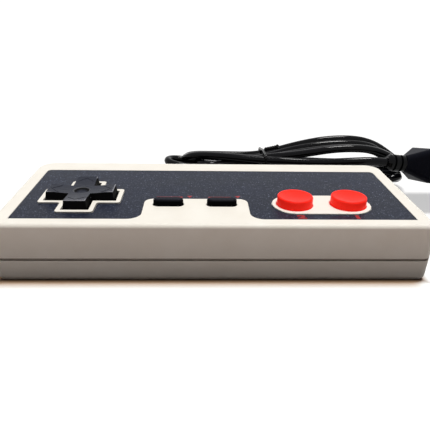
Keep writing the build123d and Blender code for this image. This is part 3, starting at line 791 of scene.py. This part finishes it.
def lacqueredBoard():
    material, tree, shader, place = startMaterial("lacqueredBoard")
    lacquer = linear(*boardFinish["lacquer"])
    grain = useGroup(tree, mouldGrain, place, Scale=boardFinish["grain"], Cloud=boardFinish["cloud"])
    tracks = addNode(tree, "ShaderNodeTexBrick", {
        "Scale": boardFinish["tracksPerMetre"],
        "Mortar Size": boardFinish["trackWidth"],
        "Mortar Smooth": boardFinish["trackSoftness"],
        "Bias": 0.0,
        "Color1": lacquer,
        "Color2": lacquer,
        "Mortar": linear(*boardFinish["track"]),
    })
    tree.links.new(place, tracks.inputs["Vector"])
    tone = mixColours(tree, grain["Tone"], tracks.outputs["Color"], lacquer)
    tree.links.new(tone, shader.inputs["Base Color"])
    addRoughness(tree, shader, boardFinish["roughness"], (grain["Tone"], boardFinish["toneGloss"]))
    addBump(tree, shader, tracks.outputs["Fac"], boardFinish["bump"], boardFinish["trackDepth"])
    return material


def dressInside():
    rubber = moulded("greySilicone", siliconeFinish)
    addMembranes(rubber)
    addPadQuarters("d_pad_membrane", rubber)
    black = moulded("carbonFace", carbonFinish)
    dress(black, "a_pill", "b_pill", "select_pill", "start_pill")
    addPadQuarters("d_pad_pills", black)
    dress(lacqueredBoard(), "circuit_board")
    dress(bareMetal("bareCopper", copperFinish), "contact_pads")
    dress(bareMetal("brightTin", tinFinish), "chip_legs", "solder_joints")
    dress(moulded("chipBody", chipFinish), "shift_register")
    for colour, (first, second) in coreColours.items():
        finish = {**coreFinish, "colour": first, "other": second}
        dress(moulded(f"{colour}Core", finish), f"wire_{colour}")
    print("inside dressed")


# cord, its hank, tie and plug

cordShape = {
    "diameter": 3.2,
    "pitch": 3.85,
    "layers": 4,
    "loopsPerLayer": 2,
    "floorGap": 0.1,
    "arch": [0.0, -0.2, 0.9, 5.7],  # how much each layer rises in the belly
    "backSink": [0.0, -0.4, -1.9, 0.0],  # and how much lower it lies at the back
    "leftDroop": 0.6,  # each layer sinks by this on the one below
    "sagShare": 0.45,  # of the right end's sag, in the bends on both sides of it
    "lead": [
        (-16.0, 31.5, 7.3), (-15.9, 34.9, 7.2), (-12.6, 37.2, 6.3), (-6.0, 37.7, 4.4), (2.2, 39.2, 2.6),
        (12.0, 40.5, 2.5),
    ],
    "tail": [
        (29.0, 40.05, 14.7), (36.5, 38.9, 14.6), (47.0, 36.9, 15.2), (55.5, 35.4, 16.2), (62.5, 34.5, 16.85),
        (69.0, 34.5, 16.4), (70.0, 34.5, 16.33),
    ],
}
# the outermost loop: place, how a deeper loop moves in, lift, and shares of the arch, droop and right end
cordStations = [
    ((22.0, 41.05), (0, 1), 1.2, 0.0, 0.0, 0.0),
    ((37.0, 40.4), (0, 1), 0.5, 0.42, 0.0, 0.0),
    ((53.0, 40.0), (0, 1), 0.0, 1.0, 0.0, 0.0),
    ((67.0, 40.0), (0, 1), 0.0, 0.9, 0.0, 0.4),
    ((79.2, 41.2), (-0.95, 0.6), 0.0, 0.05, 0.0, 1.0),
    ((82.0, 50.0), (-0.9, 0), 0.0, 0.0, 0.0, 1.0),
    ((79.2, 58.6), (-0.95, -0.6), 0.0, 0.05, 0.0, 1.0),
    ((67.0, 59.4), (0, -1), 0.0, 0.9, 0.0, 0.4),
    ((53.0, 59.4), (0, -1), 0.0, 1.0, 0.0, 0.0),
    ((37.0, 59.2), (0, -1), 0.5, 0.42, 0.0, 0.0),
    ((22.0, 58.95), (0, -1), 0.0, 0.0, 1.0, 0.0),
    ((3.0, 59.3), (0, -1), 0.0, 0.0, 1.0, 0.0),
    ((-17.2, 58.9), (0.95, -0.6), 0.0, 0.0, 1.0, 0.0),
    ((-20.4, 50.0), (0.9, 0), 0.0, 0.0, 1.0, 0.0),
    ((-17.2, 40.8), (0.95, 0.6), 0.0, 0.0, 1.0, 0.0),
    ((3.0, 40.1), (0, 1), 0.0, 0.0, 1.0, 0.0),
]
# how the turns differ: reach and sag at the right end, reach at the left end, lift in the belly
cordLoose = {
    "right": [0.0, 0.0, -2.0, -2.4, -0.5, 0.0, 1.5, 4.5],
    "sag": [0.0, 0.0, 0.0, 0.0, 3.0, 0.0, 0.0, 6.0],
    "left": [0.2, 0.8, 1.2, 0.0, -0.3, 1.0, -10.5, -8.0],
    "belly": [0.0, 0.3, -0.2, 0.1, 0.3, -0.3, -0.5, 0.5],
}
# where single turns leave the even lay: turn and station, and the move there
cordMoved = {
    (7, 13): (0.5, 2.0, 0.0), (7, 14): (2.2, 6.8, 3.0), (7, 15): (1.0, 3.7, 3.8),
    (5, 11): (0.0, 0.0, 0.8), (5, 12): (-3.0, 0.0, 2.5), (5, 13): (-3.5, 0.0, 3.3), (5, 14): (-3.0, 0.0, 2.4),
    (6, 11): (0.0, 0.0, -0.9),
    (0, 3): (0.0, -0.8, 2.4), (0, 4): (-1.0, -2.4, 7.6), (0, 5): (-1.0, -2.6, 2.6), (0, 6): (0.0, 0.0, 0.5),
}
jacketFinish = {
    "colour": (5, 5, 8),
    "other": (9, 9, 13),
    "roughness": 0.06,
    "grain": 2600.0,
    "bump": 0.004,
    "specular": 0.11,
    "rub": 0.02,
}
tubeShape = {"bevelSteps": 5, "stepsPerPoint": 8, "order": 3}


def hankPoint(step):
    count = len(cordStations)
    station = step % count
    turn = step / count
    layerPlace = turn / cordShape["loopsPerLayer"]
    layer = min(math.floor(layerPlace), cordShape["layers"] - 1)
    inside = turn - layer * cordShape["loopsPerLayer"]
    depth = inside if layer % 2 == 0 else cordShape["loopsPerLayer"] - inside
    between = 0 < layerPlace < cordShape["layers"] and layerPlace % 1 == 0
    level = layer - 0.5 if between else layer
    (x, y), (inX, inY), lift, arch, droop, rightEnd = cordStations[station]
    lap = min(math.floor(turn), len(cordLoose["right"]) - 1)
    x += cordLoose["right"][lap] * rightEnd - cordLoose["left"][lap] * (droop if inX else 0)
    z = cordShape["floorGap"] + cordShape["diameter"] / 2 + level * cordShape["pitch"] + lift
    z += arch * (cordShape["arch"][layer] + cordLoose["belly"][lap]) - droop * cordShape["leftDroop"] * level
    if inY < 0:
        z += arch * cordShape["backSink"][layer]
    if inX < 0:
        z -= cordLoose["sag"][lap] * (1.0 if inY == 0 else cordShape["sagShare"])
    moveX, moveY, moveZ = cordMoved.get((lap, station), (0, 0, 0))
    inward = depth * cordShape["pitch"]
    return (x + inX * inward + moveX, y + inY * inward + moveY, z + moveZ)


def smoothTube(name, lines, thickness, cyclic=False):
    data = bpy.data.curves.new(name, "CURVE")
    data.dimensions = "3D"
    data.bevel_depth = thickness / 2 * mm
    data.bevel_resolution = tubeShape["bevelSteps"]
    data.resolution_u = tubeShape["stepsPerPoint"]
    data.use_fill_caps = True
    for points in lines:
        spline = data.splines.new("NURBS")
        spline.points.add(len(points) - 1)
        for point, co in zip(spline.points, points):
            point.co = (*(c * mm for c in co), 1)
        spline.order_u = tubeShape["order"]
        spline.use_cyclic_u = cyclic
        spline.use_endpoint_u = not cyclic
        spline.use_smooth = True
    piece = bpy.data.objects.new(name, data)
    scene.collection.objects.link(piece)
    return piece


def addCord():
    last = len(cordStations) * cordShape["layers"] * cordShape["loopsPerLayer"]
    route = cordShape["lead"] + [hankPoint(step) for step in range(last + 1)] + cordShape["tail"]
    cord = smoothTube("cord", [route], cordShape["diameter"])
    jacket = moulded("cordJacket", jacketFinish)
    cord.data.materials.append(jacket)
    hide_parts("cord_lead", "cord_hank", "cord_tail")
    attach(cord, "case")
    dress(jacket, "cord_inner", "strain_relief", "plug_boot")
    print("cord laid:", len(route), "points")
    return cord


tieShape = {
    "x": 22.0,
    "wire": 0.95,
    "loop": [
        (38.75, 9.0), (38.75, 14.0), (38.75, 17.1), (41.6, 17.1), (47.0, 16.9), (53.0, 15.6), (58.0, 14.3),
        (61.0, 13.9), (61.2, 11.0), (61.2, 7.5), (61.2, 3.5), (61.2, 0.75), (58.4, 0.75), (50.0, 0.75),
        (41.6, 0.75), (38.75, 0.75), (38.75, 3.5),
    ],
    "twistStart": (22.3, 46.5, 17.5),
    "twistEnd": (27.8, 46.0, 18.9),
    "twistWire": 0.85,  # share of the wire's width, pressed together
    "twistRadius": 0.42,
    "twistTurns": 3,
    "pointsPerTurn": 12,
    "openPoints": 4,  # at the free end, where the two wires part
    "openSpread": 1.5,
}
tieFinish = {
    "colour": (10, 10, 11),
    "other": (14, 14, 15),
    "roughness": 0.25,
    "grain": 5200.0,
    "specular": 0.16,
    "dust": 0.02,
}


def addTie():
    start, end = Vector(tieShape["twistStart"]), Vector(tieShape["twistEnd"])
    along = (end - start).normalized()
    side = along.cross(Vector((0, 0, 1))).normalized()
    up = side.cross(along)
    strands = []
    count = tieShape["twistTurns"] * tieShape["pointsPerTurn"]
    for half in (0, math.pi):
        strand = []
        for n in range(count + 1):
            angle = half + 2 * math.pi * n / tieShape["pointsPerTurn"]
            closed = n < count - tieShape["openPoints"]
            spread = tieShape["twistRadius"] * (1.0 if closed else tieShape["openSpread"])
            across = side * math.cos(angle) + up * math.sin(angle)
            strand.append(start.lerp(end, n / count) + across * spread)
        strands.append(strand)
    ring = [(tieShape["x"], y, z) for y, z in tieShape["loop"]]
    loop = smoothTube("tieLoop", [ring], tieShape["wire"], cyclic=True)
    twist = smoothTube("tieTwist", strands, tieShape["wire"] * tieShape["twistWire"])
    material = moulded("tieCoat", tieFinish)
    for piece in (loop, twist):
        piece.data.materials.append(material)
        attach(piece, "case")
    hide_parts("cable_tie")
    print("tie wound")
    return [loop, twist]


plugFinish = {
    "colour": (12, 13, 22),
    "other": (16, 17, 27),
    "roughness": 0.42,
    "grain": 5200.0,
    "bump": 0.35,
    "grainDepth": 0.03,
    "specular": 0.045,
    "dust": 0.04,
}
insertFinish = {
    "colour": (34, 34, 37),
    "other": (40, 40, 43),
    "roughness": 0.55,
    "grain": 6000.0,
    "dust": 0.02,
}
giltFinish = {"colour": (222, 186, 112), "other": (204, 166, 94), "roughness": 0.22, "grain": 3000.0}


def dressPlug():
    dress(moulded("plugBody", plugFinish), "plug_body")
    dress(moulded("plugInsert", insertFinish), "plug_insert")
    dress(bareMetal("giltContact", giltFinish), "plug_contacts")
    print("plug dressed")


addCamera()
cord = addCord()
tie = addTie()
addStudio()
dressCase()
addMarks()
dressButtons()
dressInside()
dressPlug()
